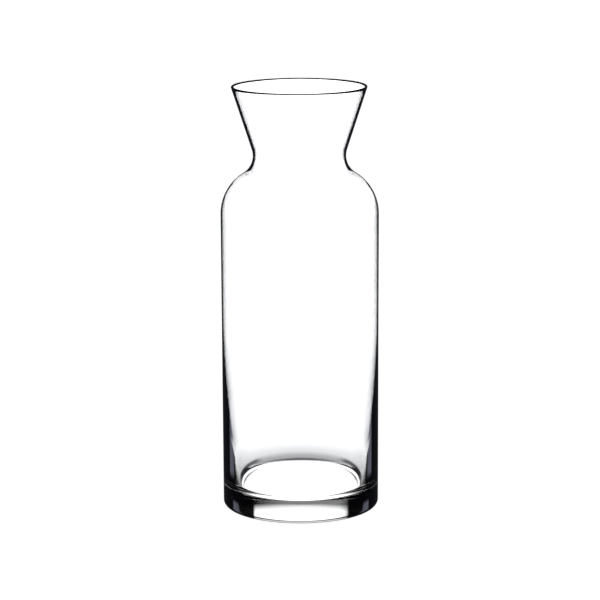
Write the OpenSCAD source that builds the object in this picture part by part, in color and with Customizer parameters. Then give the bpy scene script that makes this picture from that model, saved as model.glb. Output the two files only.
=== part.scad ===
// Water carafe, blown in one piece of clear glass, with a heavy base.
// Sizes are in millimetres. Z runs up the axis, and the origin is the centre of the
// plane that the carafe stands on.

/* [Body] */
// Outside diameter where the straight side meets the shoulder
body_diameter = 92.4; // [86:0.1:100]
// How much less the side measures across at the heel than at the shoulder
side_taper = 0.5; // [0:0.1:4]
// Height above the table at which the shoulder begins
body_height = 175.4; // [165:0.1:185]
// Outside radius of the shoulder
shoulder_radius = 27.5; // [22:0.5:32]

/* [Waist and mouth] */
// Outside diameter at the waist, the narrowest place
waist_diameter = 54.3; // [50:0.1:60]
// Outside radius of the bend at the waist
waist_bend_radius = 12.6; // [8:0.1:15]
// Outside diameter of the mouth at its lip
mouth_diameter = 79; // [70:0.5:86]
// Height of the lip above the waist
flare_height = 40.7; // [32:0.1:50]

/* [Glass thickness] */
// Thickness of the shoulder and of the upper part of the side
side_thickness = 0.9; // [0.8:0.1:2]
// Thickness at the waist
waist_thickness = 1.5; // [1.4:0.1:3.4]
// Thickness of the lip, which is rounded over
lip_thickness = 1.3; // [1.2:0.1:2.4]
// Thickness of the side where it meets the floor
foot_thickness = 8.2; // [5:0.1:10]
// Height above the table at which the side begins to thicken downwards
thickening_height = 112; // [90:1:140]
// Thickness of the floor above the table
floor_thickness = 12; // [8:0.1:16]
// Inside radius between the side and the floor
floor_bend_radius = 6; // [3:0.5:8]

/* [Foot] */
// Width of the rounded heel around the foot
heel_width = 4; // [2:0.5:12]
// Height of the rounded heel
heel_height = 3.5; // [2:0.1:8]
// Width of the flat ring that the carafe stands on
ring_width = 15; // [8:0.5:20]
// Depth of the shallow hollow under the base, inside the ring
punt_depth = 0.5; // [0.3:0.1:2]

/* [Hidden] */

// Sides of the round, and steps along each bend of the outline
$fn = 144;
bend_steps = 16;

// Outside of the shoulder, the waist and the lip
shoulder_centre = [body_diameter / 2 - shoulder_radius, body_height];
waist_centre = waist_bend_centre(shoulder_radius, waist_diameter / 2, waist_bend_radius);
shoulder_end = bearing(waist_centre - shoulder_centre);
lip_radius = lip_thickness / 2;
lip_centre = [mouth_diameter / 2 - lip_radius, waist_centre.y + flare_height - lip_radius];
flare = flare_angle(waist_centre, waist_bend_radius + lip_radius);

// The same places inside, where the bends keep the thickness of the glass
inner_radius = body_diameter / 2 - side_thickness;
inner_shoulder_radius = shoulder_radius - side_thickness;
inner_bend_radius = waist_bend_radius + side_thickness;
inner_waist = waist_diameter / 2 - waist_thickness;
inner_waist_centre = waist_bend_centre(inner_shoulder_radius, inner_waist, inner_bend_radius);
inner_shoulder_end = bearing(inner_waist_centre - shoulder_centre);
inner_flare = flare_angle(inner_waist_centre, inner_bend_radius - lip_radius);

// The inside of the side leans inwards on one long bend, down to the floor's own bend
base_radius = (body_diameter - side_taper) / 2;
foot_step = inner_radius - (base_radius - foot_thickness);
lean_height = thickening_height - floor_thickness;
lean_radius = (pow(lean_height, 2) + pow(foot_step, 2)) / (2 * foot_step);
lean_centre = [inner_radius - lean_radius, thickening_height];
floor_bend_reach = lean_radius - floor_bend_radius;
floor_bend_drop = lean_height - floor_bend_radius;
floor_bend_centre = lean_centre
    + [sqrt(pow(floor_bend_reach, 2) - pow(floor_bend_drop, 2)), -floor_bend_drop];
lean_end = bearing(floor_bend_centre - lean_centre);

// Underside
ring_outer_radius = base_radius - heel_width;
ring_inner_radius = ring_outer_radius - ring_width;
punt_radius = (pow(ring_inner_radius, 2) + pow(punt_depth, 2)) / (2 * punt_depth);
punt_end = acos(ring_inner_radius / punt_radius);

// Angle of a vector of the outline, anticlockwise from straight outwards
function bearing(v) = atan2(v.y, v.x);

// Centre of the bend that touches the shoulder and narrows to the given radius
function waist_bend_centre(shoulder, narrowest, bend) =
    let (across = narrowest + bend - shoulder_centre.x)
    shoulder_centre + [across, sqrt(pow(shoulder + bend, 2) - pow(across, 2))];

// Lean of the straight line from the waist's bend to the lip, away from upright.
// offset is how far the line's lower end lies off the centre of the bend, measured square
// to the line, less how far its upper end lies off the centre of the lip.
function flare_angle(bend_centre, offset) =
    let (run = lip_centre - bend_centre)
    atan2(run.x, run.y) + asin(offset / norm(run));

// Points along a bend, from one angle to another
function bend(centre, radius, from, to) =
    [for (i = [0 : bend_steps])
        let (a = from + (to - from) * i / bend_steps)
        centre + radius * [cos(a), sin(a)]];

// Points along the heel, a quarter of an ellipse from the ring up to the side
heel = [for (i = [0 : bend_steps])
    let (a = 90 * i / bend_steps)
    [ring_outer_radius + heel_width * sin(a), heel_height * (1 - cos(a))]];

outside = concat(
    heel,
    bend(shoulder_centre, shoulder_radius, 0, shoulder_end),
    bend(waist_centre, waist_bend_radius, 180 + shoulder_end, 180 - flare));

lip = bend(lip_centre, lip_radius, -flare, 180 - inner_flare);

inside = concat(
    bend(inner_waist_centre, inner_bend_radius, 180 - inner_flare, 180 + inner_shoulder_end),
    bend(shoulder_centre, inner_shoulder_radius, inner_shoulder_end, 0),
    bend(lean_centre, lean_radius, 0, lean_end),
    bend(floor_bend_centre, floor_bend_radius, lean_end, -90),
    [[0, floor_thickness]]);

underside = bend([0, punt_depth - punt_radius], punt_radius, 90, punt_end);

// The whole carafe is one piece of glass, turned from half of its section
module glass_carafe() {
    color([0.86, 0.93, 0.95, 0.4])
        rotate_extrude()
            polygon(concat(outside, lip, inside, underside));
}

glass_carafe();
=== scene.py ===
# Clear glass water carafe on a white studio sweep
from math import asin, atan2, cos, pi, radians, sin, sqrt

import bpy
import bmesh
from mathutils import Matrix, Vector


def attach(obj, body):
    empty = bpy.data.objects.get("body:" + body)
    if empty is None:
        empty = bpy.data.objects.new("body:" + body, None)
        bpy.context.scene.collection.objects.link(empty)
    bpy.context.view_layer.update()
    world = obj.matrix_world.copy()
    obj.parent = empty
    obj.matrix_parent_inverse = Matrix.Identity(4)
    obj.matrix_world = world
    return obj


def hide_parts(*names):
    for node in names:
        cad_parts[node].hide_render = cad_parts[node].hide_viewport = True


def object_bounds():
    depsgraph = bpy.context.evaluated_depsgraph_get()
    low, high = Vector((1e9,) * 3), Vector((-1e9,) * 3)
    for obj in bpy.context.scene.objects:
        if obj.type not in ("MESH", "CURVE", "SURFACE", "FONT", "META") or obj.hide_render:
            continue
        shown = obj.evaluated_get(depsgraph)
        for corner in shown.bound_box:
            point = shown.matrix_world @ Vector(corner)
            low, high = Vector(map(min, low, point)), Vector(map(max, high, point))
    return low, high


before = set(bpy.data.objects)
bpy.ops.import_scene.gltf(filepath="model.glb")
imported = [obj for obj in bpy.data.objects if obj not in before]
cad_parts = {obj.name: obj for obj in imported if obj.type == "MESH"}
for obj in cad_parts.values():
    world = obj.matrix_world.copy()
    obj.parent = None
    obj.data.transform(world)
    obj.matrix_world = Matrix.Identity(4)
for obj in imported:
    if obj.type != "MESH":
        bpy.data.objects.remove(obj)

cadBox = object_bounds()
print("frame loaded")

mm = 0.001

# the glass: its height and width come from the frame's box, the rest is set here
glass = {
    "sideTaper": 0.5 * mm,
    "bodyHeight": 175.4 * mm,
    "shoulderRadius": 27.5 * mm,
    "waistDiameter": 54.3 * mm,
    "waistBendRadius": 12.6 * mm,
    "mouthDiameter": 79 * mm,
    "sideThickness": 0.9 * mm,
    "waistThickness": 1.5 * mm,
    "lipThickness": 1.3 * mm,
    "footThickness": 8.2 * mm,
    "thickeningHeight": 112 * mm,
    "floorThickness": 12 * mm,
    "floorBendRadius": 6 * mm,
    "heelWidth": 4 * mm,
    "heelHeight": 3.5 * mm,
    "ringWidth": 15 * mm,
    "puntDepth": 0.5 * mm,
    "bendSteps": 24,
    "floorBendSteps": 48,
    "sideSteps": 12,
    "ringSteps": 2,
    "roundSteps": 224,
    "merge": 0.001 * mm,
}


# outline of the glass, drawn in the plane y = 0 with bmesh operators

def along(start, end, steps, vert, bm):
    # straight run to the point end, in even steps
    for i in range(1, steps + 1):
        vert = bmesh.ops.extrude_vert_indiv(bm, verts=[vert])["verts"][0]
        point = Vector(start).lerp(Vector(end), i / steps)
        vert.co = (point.x, 0, point.y)
    return vert


def around(centre, turn, steps, vert, bm):
    # bend about centre, turned anticlockwise as seen with x right and z up
    turned = bmesh.ops.spin(bm, geom=[vert], cent=(centre.x, 0, centre.y), axis=(0, -1, 0),
                            angle=turn, steps=steps)["geom_last"]
    return [g for g in turned if isinstance(g, bmesh.types.BMVert)][0]


def at(centre, radius, angle):
    return centre + radius * Vector((cos(angle), sin(angle)))


def bearing(v):
    return atan2(v.y, v.x)


def bendCentre(shoulder, shoulderRadius, narrowest, bendRadius):
    # centre of the waist's bend, which touches the shoulder
    across = narrowest + bendRadius - shoulder.x
    return shoulder + Vector((across, sqrt((shoulderRadius + bendRadius) ** 2 - across ** 2)))


def flareAngle(bend, lip, offset):
    run = lip - bend
    return atan2(run.x, run.y) + asin(offset / run.length)


def makeGlass(g):
    bodyRadius = (cadBox[1][0] - cadBox[0][0]) / 2
    baseRadius = bodyRadius - g["sideTaper"] / 2
    lipRadius = g["lipThickness"] / 2
    lip = Vector((g["mouthDiameter"] / 2 - lipRadius, cadBox[1][2] - lipRadius))
    shoulder = Vector((bodyRadius - g["shoulderRadius"], g["bodyHeight"]))
    innerShoulderRadius = g["shoulderRadius"] - g["sideThickness"]
    innerBend = g["waistBendRadius"] + g["sideThickness"]
    innerRadius = bodyRadius - g["sideThickness"]
    waist = bendCentre(shoulder, g["shoulderRadius"], g["waistDiameter"] / 2,
                       g["waistBendRadius"])
    innerWaist = bendCentre(shoulder, innerShoulderRadius,
                            g["waistDiameter"] / 2 - g["waistThickness"], innerBend)
    flare = flareAngle(waist, lip, g["waistBendRadius"] + lipRadius)
    innerFlare = flareAngle(innerWaist, lip, innerBend - lipRadius)
    footStep = innerRadius - (baseRadius - g["footThickness"])
    leanHeight = g["thickeningHeight"] - g["floorThickness"]
    leanRadius = (leanHeight ** 2 + footStep ** 2) / (2 * footStep)
    lean = Vector((innerRadius - leanRadius, g["thickeningHeight"]))
    floorDrop = leanHeight - g["floorBendRadius"]
    floorReach = sqrt((leanRadius - g["floorBendRadius"]) ** 2 - floorDrop ** 2)
    floorBend = lean + Vector((floorReach, -floorDrop))
    leanEnd = bearing(floorBend - lean)
    ringOuter = baseRadius - g["heelWidth"]
    ringInner = ringOuter - g["ringWidth"]
    puntRadius = (ringInner ** 2 + g["puntDepth"] ** 2) / (2 * g["puntDepth"])
    punt = Vector((0, g["puntDepth"] - puntRadius))
    puntTurn = asin(ringInner / puntRadius)

    bends = g["bendSteps"]
    sides = g["sideSteps"]
    bm = bmesh.new()

    # heel: a quarter circle, scaled to the heel's width and height
    vert = bm.verts.new((0, 0, -1))
    vert = around(Vector((0, 0)), pi / 2, bends, vert, bm)
    bmesh.ops.scale(bm, verts=bm.verts[:], vec=(g["heelWidth"], 1, g["heelHeight"]))
    bmesh.ops.translate(bm, verts=bm.verts[:], vec=(ringOuter, 0, g["heelHeight"]))

    # side, shoulder, waist and flare, up to the lip
    shoulderEnd = bearing(waist - shoulder)
    flareFoot = at(waist, g["waistBendRadius"], pi - flare)
    vert = along((baseRadius, g["heelHeight"]), (bodyRadius, g["bodyHeight"]), sides, vert, bm)
    vert = around(shoulder, shoulderEnd, bends, vert, bm)
    vert = around(waist, -(shoulderEnd + flare), bends, vert, bm)
    vert = along(flareFoot, at(lip, lipRadius, -flare), sides, vert, bm)
    vert = around(lip, pi - innerFlare + flare, bends, vert, bm)

    # down the inside to the middle of the floor
    innerEnd = bearing(innerWaist - shoulder)
    innerFlareFoot = at(innerWaist, innerBend, pi - innerFlare)
    vert = along(at(lip, lipRadius, pi - innerFlare), innerFlareFoot, sides, vert, bm)
    vert = around(innerWaist, innerFlare + innerEnd, bends, vert, bm)
    vert = around(shoulder, -innerEnd, bends, vert, bm)
    vert = along((innerRadius, g["bodyHeight"]), (innerRadius, g["thickeningHeight"]),
                 sides, vert, bm)
    vert = around(lean, leanEnd, bends, vert, bm)
    vert = around(floorBend, -pi / 2 - leanEnd, g["floorBendSteps"], vert, bm)
    vert = along((vert.co.x, vert.co.z), (0, g["floorThickness"]), sides, vert, bm)

    # under the base: the punt and the ring that the carafe stands on
    top = bm.verts.new((0, 0, g["puntDepth"]))
    edge = around(punt, -puntTurn, bends, top, bm)
    along((ringInner, 0), (ringOuter, 0), g["ringSteps"], edge, bm)

    bmesh.ops.remove_doubles(bm, verts=bm.verts[:], dist=g["merge"])
    bmesh.ops.spin(bm, geom=bm.verts[:] + bm.edges[:], cent=(0, 0, 0), axis=(0, 0, 1),
                   angle=2 * pi, steps=g["roundSteps"], use_merge=True)
    bmesh.ops.remove_doubles(bm, verts=bm.verts[:], dist=g["merge"])
    bmesh.ops.recalc_face_normals(bm, faces=bm.faces[:])
    for face in bm.faces:
        face.smooth = True
    mesh = bpy.data.meshes.new("carafeGlass")
    bm.to_mesh(mesh)
    bm.free()
    piece = bpy.data.objects.new("carafeGlass", mesh)
    bpy.context.scene.collection.objects.link(piece)
    print("glass turned:", len(mesh.polygons), "faces")
    return piece


# node helpers

def nodeTree(owner):
    owner.use_nodes = True
    owner.node_tree.nodes.clear()
    return owner.node_tree


def addNode(tree, kind, **settings):
    node = tree.nodes.new(kind)
    for name, value in settings.items():
        setattr(node, name, value)
    return node


def plug(tree, value, socket):
    if isinstance(value, bpy.types.NodeSocket):
        tree.links.new(value, socket)
    else:
        socket.default_value = value


def calc(tree, operation, *values):
    node = addNode(tree, "ShaderNodeMath", operation=operation)
    for value, socket in zip(values, node.inputs):
        plug(tree, value, socket)
    return node.outputs[0]


def times(tree, product, *others):
    for other in others:
        product = calc(tree, "MULTIPLY", product, other)
    return product


def vectorCalc(tree, operation, *values):
    node = addNode(tree, "ShaderNodeVectorMath", operation=operation)
    for value, socket in zip(values, node.inputs):
        plug(tree, value, socket)
    return node.outputs["Value" if operation in ("LENGTH", "DOT_PRODUCT") else "Vector"]


def spread(tree, value, low, high, atLow, atHigh):
    # smooth change from atLow to atHigh as value goes from low to high
    node = addNode(tree, "ShaderNodeMapRange", interpolation_type="SMOOTHSTEP")
    for name, number in (("Value", value), ("From Min", low), ("From Max", high),
                         ("To Min", atLow), ("To Max", atHigh)):
        plug(tree, number, node.inputs[name])
    return node.outputs["Result"]


def ramp(tree, value, stops):
    # straight changes between stops, each a length in millimetres and the number there
    node = addNode(tree, "ShaderNodeValToRGB")
    furthest, highest = stops[-1][0], max(number for _, number in stops)
    while len(node.color_ramp.elements) < len(stops):
        node.color_ramp.elements.new(1)
    for stop, (length, number) in zip(node.color_ramp.elements, stops):
        stop.position = length / furthest
        stop.color = (number / highest,) * 3 + (1,)
    plug(tree, calc(tree, "DIVIDE", value, furthest * mm), node.inputs["Fac"])
    return calc(tree, "MULTIPLY", node.outputs["Color"], highest)


def mixColours(tree, factor, first, second):
    node = addNode(tree, "ShaderNodeMix", data_type="RGBA")
    # the colour sockets share their names with the number sockets, so they go by place
    plug(tree, factor, node.inputs["Factor"])
    plug(tree, first, node.inputs[6])
    plug(tree, second, node.inputs[7])
    return node.outputs[2]


def facingOf(tree, normal=None):
    # 0 where the ray meets the surface squarely, up to 1 where it only grazes it
    node = addNode(tree, "ShaderNodeLayerWeight")
    node.inputs["Blend"].default_value = 0.5
    if normal is not None:
        plug(tree, normal, node.inputs["Normal"])
    return node.outputs["Facing"]


# clear glass with the faint waves of a blown surface, and black painted shade at its edges, heel,
# foot and bend
clearGlass = {
    "colour": (0.985, 0.99, 1.0, 1),
    # painted shade: the black painted into the glass's colour at its edges, heel, foot and bend
    "paintedShadeColour": (0.0, 0.0, 0.0, 1),
    "ior": 1.52,
    # painted shade, by height: the slant past which the outside is painted dark, and how dark it is
    # painted
    "slants": [(0, 0.215), (13, 0.215), (16, 0.44), (26, 0.455), (36, 0.475), (47, 0.56), (57, 0.7),
               (64, 0.8), (68, 1), (181, 1), (184, 0.8), (193, 0.79),
               (196, 0.86), (200, 0.86), (202, 0.66), (209, 0.66), (211, 1),
               (249.35, 1), (249.55, 0)],
    "edgeDark": [(0, 0.99997), (12, 0.99997), (13.5, 0.975), (25, 0.975), (29, 1)],
    "edgeWidth": 0.03,
    "outerWall": (0.3, 0.5),
    "lipStart": 249.3 * mm,
    "baseTop": 14.5 * mm,
    "baseInside": (42.1 * mm, 42.3 * mm),
    # painted shade: the dark line painted along the foot
    "footLine": (0.22, 0.34),
    "footDark": 0.7,
    "footTop": 3 * mm,
    # how much of the heel is left clear of painted shade, by height less heelLean times the slant
    "heelClear": [(0, 0), (0.7, 0.002), (1.4, 0.018), (1.8, 0.03), (2.3, 0.05), (2.75, 0.09),
                  (3.65, 0.17), (4.65, 0.32), (5.65, 0.43), (6.65, 0.7), (7.8, 1)],
    "heelLean": 45 * mm,
    "heelLeft": (-7.5 * mm, -2.5 * mm),
    "heelRight": (6 * mm, 9.5 * mm),
    "heelLeast": 0.019,
    "heelFoot": (1.3 * mm, 1.8 * mm),
    "heelInside": (44 * mm, 45 * mm),
    "heelRising": (0.33, 0.45),
    # painted shade on the bend between the side and the floor, seen from inside
    "bendSlant": (0.22, 0.36),
    "bendSide": (0.66, 0.8),
    "bendDark": 0.9997,
    "bendFoot": (12 * mm, 13.5 * mm),
    "bendTop": (15.2 * mm, 17 * mm),
    "bendLean": (-0.92, -0.55),
    "waveScale": 34,
    "waveHeight": 0.006 * mm,
    "lampsThrough": (0.93, 0.94, 0.95, 1),
}


def paintedShadeOutside(tree, place, radius, facing, level, outside, entered, g):
    # painted shade: the outside is painted dark where the eye meets it at a slant, sooner where the
    # glass is thicker, in place of the dark that real glass shows there
    height = place.outputs["Z"]
    # in the base the slant is the side's, so that the rounded heel does as the side above it
    low = calc(tree, "LESS_THAN", height, g["baseTop"])
    slant = calc(tree, "ADD", times(tree, level, low),
                 times(tree, facing, calc(tree, "SUBTRACT", 1.0, low)))
    past = calc(tree, "SUBTRACT", slant, ramp(tree, height, g["slants"]))
    foot = times(tree, low, spread(tree, radius, *g["baseInside"], 0.0, 1.0))
    wall = calc(tree, "MAXIMUM", spread(tree, outside, *g["outerWall"], 0.0, 1.0),
                calc(tree, "MAXIMUM", times(tree, foot, entered),
                     calc(tree, "GREATER_THAN", height, g["lipStart"])))
    edge = times(tree, spread(tree, past, 0.0, g["edgeWidth"], 0.0, 1.0),
                 ramp(tree, height, g["edgeDark"]), wall)
    footShadeLine = times(tree, spread(tree, facing, *g["footLine"], 0.0, g["footDark"]), foot,
                 calc(tree, "LESS_THAN", height, g["footTop"]))
    return calc(tree, "MAXIMUM", edge, footShadeLine)


def paintedShadeHeel(tree, place, radius, facing, outwards, backfacing, g):
    # painted shade: the heel is painted dark where light would leave it upwards, less in the middle
    height = place.outputs["Z"]
    above = calc(tree, "SUBTRACT", height, times(tree, facing, g["heelLean"]))
    above = calc(tree, "MAXIMUM", above, 0.0)
    middle = times(tree, spread(tree, place.outputs["X"], *g["heelLeft"], 0.0, g["heelLeast"]),
                   spread(tree, place.outputs["X"], *g["heelRight"], 1.0, 0.0))
    leaving = calc(tree, "MAXIMUM", ramp(tree, above, g["heelClear"]), middle)
    slope = vectorCalc(tree, "NORMALIZE", vectorCalc(tree, "ADD", outwards, (0, 0, 1)))
    return times(tree, backfacing, calc(tree, "SUBTRACT", 1.0, leaving),
                 spread(tree, height, *g["heelFoot"], 0.0, 1.0),
                 spread(tree, radius, *g["heelInside"], 0.0, 1.0),
                 spread(tree, facingOf(tree, slope), *g["heelRising"], 1.0, 0.0))


def paintedShadeBend(tree, place, level, outside, entered, g):
    # painted shade: the bend round the floor is painted dark too where light enters it from inside,
    # unless squarely
    height = place.outputs["Z"]
    return times(tree, spread(tree, level, *g["bendSlant"], 0.0, g["bendDark"]), entered,
                 spread(tree, level, *g["bendSide"], 1.0, 0.0),
                 spread(tree, outside, *g["bendLean"], 1.0, 0.0),
                 spread(tree, height, *g["bendFoot"], 0.0, 1.0),
                 spread(tree, height, *g["bendTop"], 1.0, 0.0))


def makeGlassMaterial(g):
    mat = bpy.data.materials.new("clearGlass")
    tree = nodeTree(mat)
    out = addNode(tree, "ShaderNodeOutputMaterial")
    skin = addNode(tree, "ShaderNodeBsdfPrincipled")
    skin.inputs["Roughness"].default_value = 0
    skin.inputs["IOR"].default_value = g["ior"]
    skin.inputs["Transmission Weight"].default_value = 1

    coords = addNode(tree, "ShaderNodeTexCoord").outputs["Object"]
    place = addNode(tree, "ShaderNodeSeparateXYZ")
    plug(tree, coords, place.inputs[0])
    away = vectorCalc(tree, "MULTIPLY", coords, (1, 1, 0))
    outwards = vectorCalc(tree, "NORMALIZE", away)
    radius = vectorCalc(tree, "LENGTH", away)
    shape = addNode(tree, "ShaderNodeNewGeometry")
    outside = vectorCalc(tree, "DOT_PRODUCT", outwards, shape.outputs["Normal"])
    backfacing = shape.outputs["Backfacing"]
    entered = calc(tree, "SUBTRACT", 1.0, backfacing)
    facing = facingOf(tree)
    level = facingOf(tree, outwards)

    edge = paintedShadeOutside(tree, place, radius, facing, level, outside, entered, g)
    heelShade = paintedShadeHeel(tree, place, radius, facing, outwards, backfacing, g)
    bend = paintedShadeBend(tree, place, level, outside, entered, g)
    # painted shade: the edges, heel, foot and bend are painted black into the glass's colour
    edge = calc(tree, "MAXIMUM", calc(tree, "MAXIMUM", edge, heelShade), bend)
    plug(tree, mixColours(tree, edge, g["colour"], g["paintedShadeColour"]), skin.inputs["Base Color"])

    waves = addNode(tree, "ShaderNodeTexNoise")
    waves.inputs["Scale"].default_value = g["waveScale"]
    waves.inputs["Detail"].default_value = 1
    plug(tree, coords, waves.inputs["Vector"])
    bump = addNode(tree, "ShaderNodeBump")
    bump.inputs["Strength"].default_value = 1
    bump.inputs["Distance"].default_value = g["waveHeight"]
    plug(tree, waves.outputs["Fac"], bump.inputs["Height"])
    plug(tree, bump.outputs["Normal"], skin.inputs["Normal"])

    path = addNode(tree, "ShaderNodeLightPath")
    clear = addNode(tree, "ShaderNodeBsdfTransparent")
    clear.inputs["Color"].default_value = g["lampsThrough"]
    mix = addNode(tree, "ShaderNodeMixShader")
    plug(tree, path.outputs["Is Shadow Ray"], mix.inputs[0])
    plug(tree, skin.outputs[0], mix.inputs[1])
    plug(tree, clear.outputs[0], mix.inputs[2])
    plug(tree, mix.outputs[0], out.inputs["Surface"])
    return mat


# studio: a white sweep, with a dark ceiling and a dark ring of painted shade on the floor round the
# base for the glass to pick up
studio = {
    "floorReach": 12.0,
    "floorSides": 96,
    "gap": 0.05 * mm,
    "floorShown": 0.9,
    "floorPaint": 0.14,
    "paintSpot": (0.2, 0.6),
    "seenThrough": 1.6,
    "mirrored": 0.03,
    "dimBlue": (0.75, 0.78, 1.0, 1),
    "roomLight": 0.4,
    # the ceiling by the ray's upward part, the flag behind by its sideways part
    "ceiling": (0.53, 0.67),
    "flag": (-0.48, -0.33),
    "flagLevel": 0.35,
    # limits between whole numbers of turns inside the glass, and of surfaces passed
    "anyTurn": 0.5,
    "manyTurns": 2.5,
    "mostTurns": 6.5,
    "oneWall": 2.5,
    "bothWalls": 3.5,
    "turnLoss": 0.85,
    # the light arcs in the base, for rays that turned back often in the near wall
    "arcFront": (0.1, 0.3),
    "arcSide": (0.5, 0.9),
    "arcLevel": 0.2,
    "arcMiddle": (20 * mm, 40 * mm),
    # the near floor, for rays that turned back inside one wall
    "sideRadius": 46 * mm,
    "nearFloor": (80 * mm, 110 * mm),
    "nearRays": (0.33, 0.62),
    "backSlope": 4.0,
    "backRays": (0.31, 0.38),
    "backReach": (26 * mm, 33 * mm),
    "backMiddle": (0.50, 0.57),
    "backLevel": 0.6,
    "underBase": (42 * mm, 45 * mm),
    "underMiddle": (26 * mm, 38 * mm),
    # white under the base and, by distance from the middle, the ring of painted shade round it
    "whiteSpot": (46.2 * mm, 48.6 * mm),
    "spotGlow": 1.75,
    "sideways": 7.2,
    "floorGlow": [(0, 0.05), (49, 0.05), (50, 0.1), (52, 0.24), (54, 0.34), (56, 0.42), (60, 0.5),
                  (63, 0.57), (67, 0.66), (73, 0.76), (80, 0.88), (87, 1), (91, 1.1), (95, 1.18),
                  (101, 1.3), (115, 1.6), (250, 1.6), (450, 2)],
    # the rays that draw the lip, by length and by distance from the middle over length
    "highRays": (140 * mm, 160 * mm),
    "steepRays": (0.82, 0.93),
    # painted light: pale strips glowing in the floor, seen only in reflections, by degrees round
    # the glass from the front and by distance from the middle
    "stripSlip": 41 * mm,
    "glowStrips": [
        {"from": (58.5, 60), "to": (63.5, 66), "inner": (105 * mm, 125 * mm),
         "outer": (260 * mm, 330 * mm), "level": 1.0},
        {"from": (55, 56.5), "to": (60, 62), "inner": (46 * mm, 50 * mm),
         "outer": (60 * mm, 68 * mm), "level": 1.2},
    ],
}


def bandOf(tree, path, s):
    # 1 for rays that turned back inside one wall of the glass, else 0
    return times(tree, calc(tree, "GREATER_THAN", path.outputs["Glossy Depth"], s["anyTurn"]),
                 calc(tree, "LESS_THAN", path.outputs["Transmission Depth"], s["oneWall"]))


def turns(tree, path, s):
    # three shares: few is for rays that turned back at most twice inside the glass, less a loss
    # in its far wall, and manyFar and manyNear are for those that turned back more often
    depth = path.outputs["Glossy Depth"]
    far = calc(tree, "GREATER_THAN", path.outputs["Transmission Depth"], s["bothWalls"])
    many = calc(tree, "GREATER_THAN", depth, s["manyTurns"])
    lost = times(tree, calc(tree, "GREATER_THAN", depth, s["anyTurn"]), far, s["turnLoss"])
    few = calc(tree, "SUBTRACT", calc(tree, "SUBTRACT", 1.0, many), lost)
    few = calc(tree, "MAXIMUM", few, 0.0)
    manyFar = times(tree, many, far)
    manyNear = times(tree, many, calc(tree, "LESS_THAN", depth, s["mostTurns"]),
                     calc(tree, "SUBTRACT", 1.0, far))
    return few, manyFar, manyNear


def mirroredRays(tree, path):
    return times(tree, path.outputs["Is Reflection Ray"], path.outputs["Is Glossy Ray"])


def mirrorTint(tree, path, s):
    return mixColours(tree, path.outputs["Is Reflection Ray"], (1, 1, 1, 1), s["dimBlue"])


def makeWorld(s):
    world = bpy.data.worlds.new("studioWhite")
    bpy.context.scene.world = world
    tree = nodeTree(world)
    out = addNode(tree, "ShaderNodeOutputWorld")
    light = addNode(tree, "ShaderNodeBackground")
    path = addNode(tree, "ShaderNodeLightPath")
    coords = addNode(tree, "ShaderNodeTexCoord")
    way = addNode(tree, "ShaderNodeSeparateXYZ")
    plug(tree, coords.outputs["Generated"], way.inputs[0])
    few, manyFar, manyNear = turns(tree, path, s)
    across = calc(tree, "ABSOLUTE", way.outputs["X"])
    side = times(tree, manyNear, spread(tree, across, *s["arcSide"], 1.0, s["arcLevel"]))
    # a dark flag behind, to the left, that the base shows at its right
    flag = calc(tree, "MAXIMUM", spread(tree, way.outputs["X"], *s["flag"], s["flagLevel"], 1.0),
                calc(tree, "GREATER_THAN", path.outputs["Transmission Depth"], s["bothWalls"]))
    seen = times(tree, spread(tree, way.outputs["Z"], *s["ceiling"], s["seenThrough"], 0.0),
                 calc(tree, "ADD", times(tree, few, flag), side))
    middle = times(tree, manyNear, spread(tree, across, *s["arcFront"], s["seenThrough"], 0.0))
    seen = calc(tree, "MAXIMUM", seen, middle)
    seen = calc(tree, "ADD", seen, times(tree, manyFar, s["seenThrough"]))
    through = times(tree, path.outputs["Is Transmission Ray"], seen)
    mirrored = times(tree, mirroredRays(tree, path), s["mirrored"])
    room = times(tree, path.outputs["Is Diffuse Ray"], s["roomLight"])
    level = calc(tree, "ADD", calc(tree, "ADD", path.outputs["Is Camera Ray"], through),
                 calc(tree, "ADD", mirrored, room))
    plug(tree, level, light.inputs["Strength"])
    plug(tree, mirrorTint(tree, path, s), light.inputs["Color"])
    plug(tree, light.outputs[0], out.inputs["Surface"])


def glowStrips(tree, place, radius, s):
    # painted light: pale strips glowing in the floor at both sides, seen only in reflections, which
    # the sides of the glass mirror. turn is how far round from the front the glass mirrors this
    # place
    angle = calc(tree, "ARCTAN2", calc(tree, "ABSOLUTE", place.outputs["X"]),
                 calc(tree, "MULTIPLY", place.outputs["Y"], -1.0))
    slip = calc(tree, "MINIMUM", calc(tree, "DIVIDE", s["stripSlip"], radius), 1.0)
    slip = calc(tree, "ARCSINE", slip)
    turn = calc(tree, "MULTIPLY", calc(tree, "ADD", angle, slip), 0.5)
    level = 0.0
    for glowStrip in s["glowStrips"]:
        start = [radians(a) for a in glowStrip["from"]]
        end = [radians(a) for a in glowStrip["to"]]
        strip = times(tree, spread(tree, turn, *start, 0.0, glowStrip["level"]),
                      spread(tree, turn, *end, 1.0, 0.0),
                      spread(tree, radius, *glowStrip["inner"], 0.0, 1.0),
                      spread(tree, radius, *glowStrip["outer"], 1.0, 0.0))
        level = calc(tree, "ADD", level, strip)
    return level


def shadedRingSeen(tree, across, radius, s):
    # white under the base, and a soft dark ring of painted shade round it, seen only through the
    # glass, that is wider to the front and back
    sideways = times(tree, calc(tree, "POWER", across, 2.0), s["sideways"])
    ring = ramp(tree, calc(tree, "ADD", radius, sideways), s["floorGlow"])
    ring = times(tree, ring, spread(tree, radius, *s["whiteSpot"], 0.0, 1.0))
    return calc(tree, "ADD", ring, spread(tree, radius, *s["whiteSpot"], s["spotGlow"], 0.0))


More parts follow.
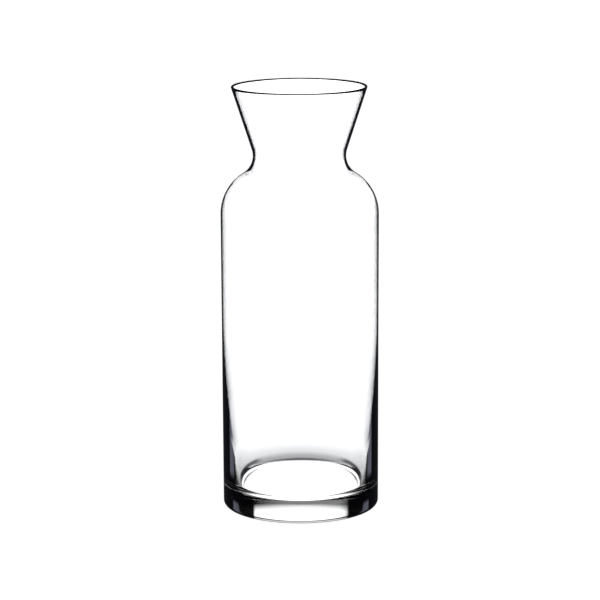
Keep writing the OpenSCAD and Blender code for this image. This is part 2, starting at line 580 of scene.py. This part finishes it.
def nearSeen(tree, path, across, radius, s):
    # rays that turned back inside the glass see a white floor only where they leave it nearly level
    reach = path.outputs["Ray Length"]
    level = calc(tree, "DIVIDE", calc(tree, "SUBTRACT", radius, s["sideRadius"]), reach)
    below = times(tree, spread(tree, radius, *s["underBase"], 1.0, 0.0),
                  spread(tree, across, *s["underMiddle"], 1.0, 0.0))
    leaving = calc(tree, "MAXIMUM", spread(tree, level, *s["nearRays"], 0.0, 1.0), below)
    # nor do they see it where they come back from the near wall, save for short rays and
    # for those in the middle
    back = calc(tree, "SUBTRACT", level, times(tree, reach, s["backSlope"]))
    keep = calc(tree, "MAXIMUM", spread(tree, back, *s["backRays"], 1.0, 0.0),
                spread(tree, reach, *s["backReach"], 1.0, 0.0))
    keep = calc(tree, "MAXIMUM", keep, spread(tree, back, *s["backMiddle"], 0.0, s["backLevel"]))
    return times(tree, spread(tree, radius, *s["nearFloor"], s["seenThrough"], 0.0),
                 spread(tree, reach, *s["nearFloor"], 1.0, 0.0), leaving, keep)


def makeFloorMaterial(s):
    mat = bpy.data.materials.new("floorWhite")
    tree = nodeTree(mat)
    out = addNode(tree, "ShaderNodeOutputMaterial")
    path = addNode(tree, "ShaderNodeLightPath")
    coords = addNode(tree, "ShaderNodeTexCoord").outputs["Object"]
    radius = vectorCalc(tree, "LENGTH", coords)
    apart = addNode(tree, "ShaderNodeSeparateXYZ")
    plug(tree, coords, apart.inputs[0])
    across = calc(tree, "ABSOLUTE", apart.outputs["X"])

    # what the glass shows of the floor
    band = bandOf(tree, path, s)
    seen = calc(tree, "ADD", times(tree, shadedRingSeen(tree, across, radius, s),
                                   calc(tree, "SUBTRACT", 1.0, band)),
                times(tree, nearSeen(tree, path, across, radius, s), band))
    few, manyFar, manyNear = turns(tree, path, s)
    seen = times(tree, seen, calc(tree, "ADD", few, manyFar))
    middle = spread(tree, across, *s["arcMiddle"], 1.0, 0.0)
    seen = calc(tree, "ADD", seen, times(tree, manyNear, middle))
    seen = times(tree, seen, path.outputs["Is Transmission Ray"])

    # steep rays from high up are dark, so that the lip is drawn as a thin line
    lean = calc(tree, "DIVIDE", radius, path.outputs["Ray Length"])
    steep = times(tree, spread(tree, path.outputs["Ray Length"], *s["highRays"], 0.0, 1.0),
                  spread(tree, lean, *s["steepRays"], 1.0, 0.0))
    seen = times(tree, seen, calc(tree, "SUBTRACT", 1.0, steep))
    shown = times(tree, path.outputs["Is Camera Ray"],
                  spread(tree, radius, *s["paintSpot"], s["floorShown"], 1.0))
    mirrored = times(tree, mirroredRays(tree, path),
                     calc(tree, "ADD", s["mirrored"], glowStrips(tree, apart, radius, s)))
    level = calc(tree, "ADD", seen, calc(tree, "ADD", shown, mirrored))

    light = addNode(tree, "ShaderNodeEmission")
    plug(tree, level, light.inputs["Strength"])
    plug(tree, mirrorTint(tree, path, s), light.inputs["Color"])
    paint = addNode(tree, "ShaderNodeBsdfDiffuse")
    plug(tree, times(tree, path.outputs["Is Camera Ray"], s["floorPaint"]), paint.inputs["Color"])
    both = addNode(tree, "ShaderNodeAddShader")
    plug(tree, light.outputs[0], both.inputs[0])
    plug(tree, paint.outputs[0], both.inputs[1])
    plug(tree, both.outputs[0], out.inputs["Surface"])
    return mat


def makeFloor(s):
    bm = bmesh.new()
    bmesh.ops.create_circle(bm, cap_ends=True, segments=s["floorSides"], radius=s["floorReach"])
    mesh = bpy.data.meshes.new("studioFloor")
    bm.to_mesh(mesh)
    bm.free()
    floor = bpy.data.objects.new("studioFloor", mesh)
    bpy.context.scene.collection.objects.link(floor)
    # a hair below the glass, so that light leaves the glass before it meets the floor
    floor.location.z = -s["gap"]
    mesh.materials.append(makeFloorMaterial(s))
    print("studio ready")


# two soft lamps overhead, which the glass doesn't mirror
lamps = {
    "overhead": {"spot": (-0.7, -0.6, 1.5), "aim": (0, 0, 0.1), "size": 1.0, "power": 14},
    "fill": {"spot": (0.9, -0.4, 1.2), "aim": (0, 0, 0.1), "size": 0.8, "power": 8},
}


def makeLamps(rig):
    for name, settings in rig.items():
        data = bpy.data.lights.new(name, "AREA")
        data.size = settings["size"]
        data.energy = settings["power"]
        lamp = bpy.data.objects.new(name, data)
        aim = Vector(settings["aim"]) - Vector(settings["spot"])
        turn = aim.to_track_quat("-Z", "Y").to_matrix().to_4x4()
        lamp.matrix_world = Matrix.Translation(settings["spot"]) @ turn
        lamp.visible_camera = False
        lamp.visible_transmission = False
        lamp.visible_glossy = False
        bpy.context.scene.collection.objects.link(lamp)
    print("lamps hung")


# camera at the photograph's viewing angle
view = {
    "distance": 1.5,
    "height": 0.4306,
    "pitchDown": 11.56,
    "roll": -0.24,
    "shiftX": -0.0001,
    "lens": 156.37,
    "sensor": 36,
    "furthest": 100,
}


def makeCamera(v):
    data = bpy.data.cameras.new("viewCamera")
    data.lens = v["lens"]
    data.sensor_width = v["sensor"]
    data.shift_x = v["shiftX"]
    data.clip_end = v["furthest"]
    camera = bpy.data.objects.new("viewCamera", data)
    pitch = Matrix.Rotation(radians(90 - v["pitchDown"]), 4, "X")
    roll = Matrix.Rotation(radians(v["roll"]), 4, "Z")
    camera.matrix_world = Matrix.Translation((0, -v["distance"], v["height"])) @ pitch @ roll
    bpy.context.scene.collection.objects.link(camera)
    bpy.context.scene.camera = camera
    print("camera placed")


carafeGlass = makeGlass(glass)
carafeGlass.data.materials.append(makeGlassMaterial(clearGlass))
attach(carafeGlass, "root")
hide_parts("glass_carafe")
makeWorld(studio)
makeFloor(studio)
makeLamps(lamps)
makeCamera(view)

bpy.context.scene.view_settings.view_transform = "Standard"
